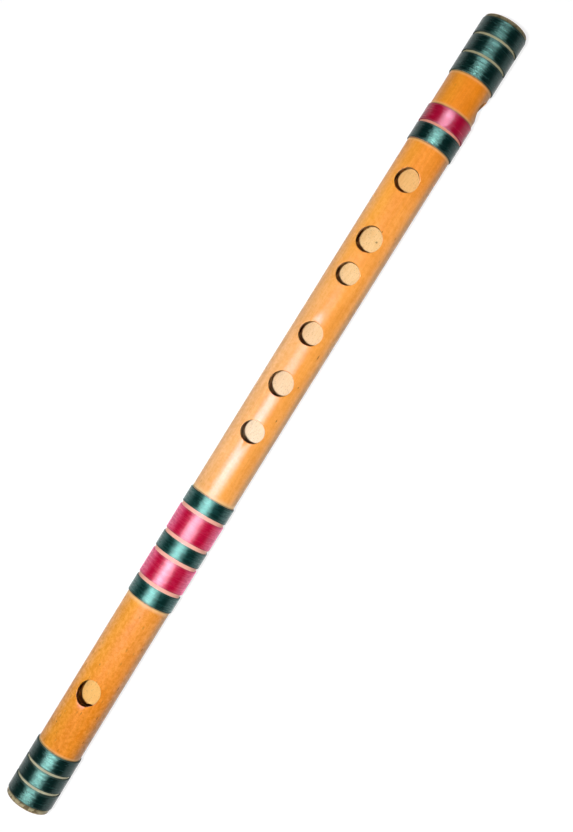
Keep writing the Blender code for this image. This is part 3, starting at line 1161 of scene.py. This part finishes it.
def make_sleeve(start, end, inner, outer):
    """The hidden first layer: a thin ring with square edges."""
    sleeve = add_piece("sleeve", bpy.ops.mesh.primitive_circle_add, vertices=SLEEVE_SIDES, radius=inner,
                       fill_type="NOTHING", location=(start, 0, 0), rotation=(0, pi / 2, 0))
    settle(sleeve)
    edit(sleeve, "EDGE")
    bpy.ops.mesh.select_all(action="SELECT")
    middle = ((start + end) / 2, 0, 0)
    extrude_by(0, 0, 0)
    bpy.ops.transform.resize(value=(1, outer / inner, outer / inner), center_override=middle)
    extrude_by(end - start, 0, 0)
    extrude_by(0, 0, 0)
    bpy.ops.transform.resize(value=(1, inner / outer, inner / outer), center_override=middle)
    bridge_open_rims()
    leave_edit()
    sleeve.data.uv_layers.new(name="thread")
    sleeve.data.uv_layers.new(name="edge")
    return sleeve


def line_the_thread(thread, start, end, skin_radius, crown):
    """Closes both tails and joins the first layer to the thread."""
    edit(thread, "VERT")
    bpy.ops.mesh.select_all(action="DESELECT")
    bpy.ops.mesh.select_non_manifold()
    bpy.ops.mesh.fill_holes(sides=THREAD_SIDES)
    leave_edit()
    sleeve = make_sleeve(start + SLEEVE_INSET, end - SLEEVE_INSET, skin_radius + SLEEVE_LIFT,
                         crown - SLEEVE_SINK)
    select_only(thread, sleeve)
    bpy.ops.object.join()
    face_outwards(thread)
    bpy.ops.object.shade_smooth_by_angle(angle=THREAD_CREASE)


def seat_on_the_cane(thread, start, end):
    """Leans the binding with the bowed cane and moves it out to the cane's axis."""
    centre = (start + end) / 2
    lean = (bow_at(end) - bow_at(start)) / (end - start)
    turn = Matrix.Rotation(lean, 4, "Z")
    place = Matrix.Translation((centre, bow_at(centre), axis_z))
    thread.data.transform(place @ turn @ Matrix.Translation((-centre, 0, 0)))


def make_binding(node):
    low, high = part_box(node)
    start, end = low[0], high[0]
    centre = (start + end) / 2
    skin_radius = cane_radius_at(centre)
    crown = skin_radius + BINDING_STAND_OFF - CROWN_MARGIN
    thread, turns, pitch = wind_thread(f"wound_{node}", start, end, crown)
    map_the_thread(thread, start, end)
    lay_by_hand(thread, turns, pitch / 2, 1000 * centre)
    line_the_thread(thread, start, end, skin_radius, crown)
    seat_on_the_cane(thread, start, end)
    slot = slot_of[node]
    lot = "middle" if abs(centre) < LOT_BORDER else "ends"
    thread.data.materials.clear()
    thread.data.materials.append(thread_materials[slot, lot])
    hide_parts(node)
    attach(thread, "flute")
    return turns


total_turns = 0
for node in thread_nodes:
    total_turns += make_binding(node)
print(f"{len(thread_nodes)} bindings, {total_turns} turns of thread")

# %% [markdown]
# ## Floor and light
# The flute lies on a white floor. Gloss should see that white floor too, so the floor glows at a strength
# near 1 for camera, gloss and transmission rays, and a part of plain white paper in it keeps the flute's
# shadow. Farther out the glow rises to 1, so a low view shows only a faint grey band. Above the floor the
# studio is dim. One small lamp close to the camera gives the crisp crescents inside the holes. A softbox
# of five sheets is seen only in the gloss, and gives the long soft line of light on the cane.

# %% Floor
FLOOR_HALF = 4.0
PAPER_WHITE = (0.86, 0.86, 0.86, 1.0)
GLOW = 0.84
GLOW_RISE = (0.4, 1.4)
FLOOR_DROP = 0.05 * MM
SHADED_PART = (0.22, 0.22, 0.22, 1.0)


def seen_rays(tree):
    """1 for the rays that should find the white background."""
    path = tree.nodes.new("ShaderNodeLightPath")
    seen = math_node(tree, "MAXIMUM", path.outputs["Is Camera Ray"], path.outputs["Is Glossy Ray"])
    return math_node(tree, "MAXIMUM", seen, path.outputs["Is Transmission Ray"])


def make_floor():
    floor = add_piece("white_floor", bpy.ops.mesh.primitive_plane_add, size=2 * FLOOR_HALF,
                      location=(0, 0, -FLOOR_DROP))
    material = bpy.data.materials.new("white_paper")
    material.use_nodes = True
    tree = material.node_tree
    tree.nodes.clear()
    paper = add_node(tree, "ShaderNodeBsdfDiffuse", Color=PAPER_WHITE)
    shaded = add_node(tree, "ShaderNodeBsdfDiffuse", Color=SHADED_PART)
    place = own_place(tree)
    far = add_node(tree, "ShaderNodeVectorMath", {"operation": "LENGTH"}, _0=place).outputs["Value"]
    strength = range_node(tree, far, *GLOW_RISE, GLOW, 1.0)
    glow = add_node(tree, "ShaderNodeEmission", Color=(1, 1, 1, 1), Strength=strength)
    white = add_node(tree, "ShaderNodeAddShader", _0=shaded.outputs[0], _1=glow.outputs[0])
    mixed = add_node(tree, "ShaderNodeMixShader", _0=seen_rays(tree), _1=paper.outputs[0],
                     _2=white.outputs[0])
    output = tree.nodes.new("ShaderNodeOutputMaterial")
    tree.links.new(mixed.outputs[0], output.inputs["Surface"])
    floor.data.materials.append(material)


make_floor()

# %% Light
LAMP_HEIGHT = 622 * MM
KEY_ALONG, KEY_ACROSS = -43 * MM, -48 * MM
KEY_SIZE = 14 * MM
KEY_LEVEL = 1.08
SOFTBOX_ALONG, SOFTBOX_ACROSS = -50 * MM, -90 * MM
SOFTBOX_SHEETS = (
    # width along the flute and length across it: five sheets, one behind the other, fade the edge
    (70 * MM, 182 * MM),
    (128 * MM, 336 * MM),
    (180 * MM, 467 * MM),
    (237 * MM, 616 * MM),
    (327 * MM, 852 * MM),
)
SHEET_RADIANCE = 30
FILL_LEVEL = 0.10
DARK_ROOM = 0.03
HORIZON_BAND = (0.005, 0.03)


def make_lamp(name, place, width, length, watts):
    """An oval lamp that faces the flute."""
    lamp = add_piece(name, bpy.ops.object.light_add, type="AREA", location=place)
    lamp.data.shape = "ELLIPSE"
    lamp.data.size, lamp.data.size_y = width, length
    lamp.data.energy = watts
    aim = Matrix((along, -across, towards_camera)).transposed()
    lamp.rotation_euler = aim.to_euler()
    print(f"{name}: {watts:.2f} W")
    return lamp


def make_lamps():
    """The small lamp lights the flute, and the softbox is only seen in its gloss."""
    key_watts = KEY_LEVEL * pi * pi * LAMP_HEIGHT ** 2
    key = make_lamp("small_key_lamp", in_front(KEY_ALONG, KEY_ACROSS, LAMP_HEIGHT),
                    KEY_SIZE, KEY_SIZE, key_watts)
    key.visible_glossy = False
    for number, (width, length) in enumerate(SOFTBOX_SHEETS, 1):
        area = pi * width * length / 4
        height = LAMP_HEIGHT + number * MM
        sheet = make_lamp(f"softbox_sheet_{number}", in_front(SOFTBOX_ALONG, SOFTBOX_ACROSS, height),
                          width, length, SHEET_RADIANCE * pi * area)
        sheet.visible_diffuse = False


def make_world():
    """Dim fill from the room. Camera rays find white, and gloss finds white low over the floor."""
    world = bpy.data.worlds.new("studio_room")
    bpy.context.scene.world = world
    world.use_nodes = True
    tree = world.node_tree
    tree.nodes.clear()
    path = tree.nodes.new("ShaderNodeLightPath")
    ray = add_node(tree, "ShaderNodeTexCoord").outputs["Generated"]
    height = part_of(tree, ray, "Z")
    low_band = range_node(tree, height, *HORIZON_BAND, 1.0, 0.0)
    gloss = math_node(tree, "MAXIMUM", path.outputs["Is Glossy Ray"], path.outputs["Is Transmission Ray"])
    gloss = times(tree, gloss, low_band)
    seen = math_node(tree, "MAXIMUM", path.outputs["Is Camera Ray"], gloss)
    glossy = path.outputs["Is Glossy Ray"]
    dim = add_node(tree, "ShaderNodeMix", {"data_type": "FLOAT"}, _0=glossy, _2=FILL_LEVEL, _3=DARK_ROOM)
    fill = add_node(tree, "ShaderNodeBackground", Color=(1, 1, 1, 1), Strength=dim.outputs[0])
    white = add_node(tree, "ShaderNodeBackground", Color=(1, 1, 1, 1), Strength=1.0)
    mixed = add_node(tree, "ShaderNodeMixShader", _0=seen, _1=fill.outputs[0], _2=white.outputs[0])
    output = tree.nodes.new("ShaderNodeOutputWorld")
    tree.links.new(mixed.outputs[0], output.inputs["Surface"])


make_lamps()
make_world()
bpy.context.scene.view_settings.view_transform = "Standard"
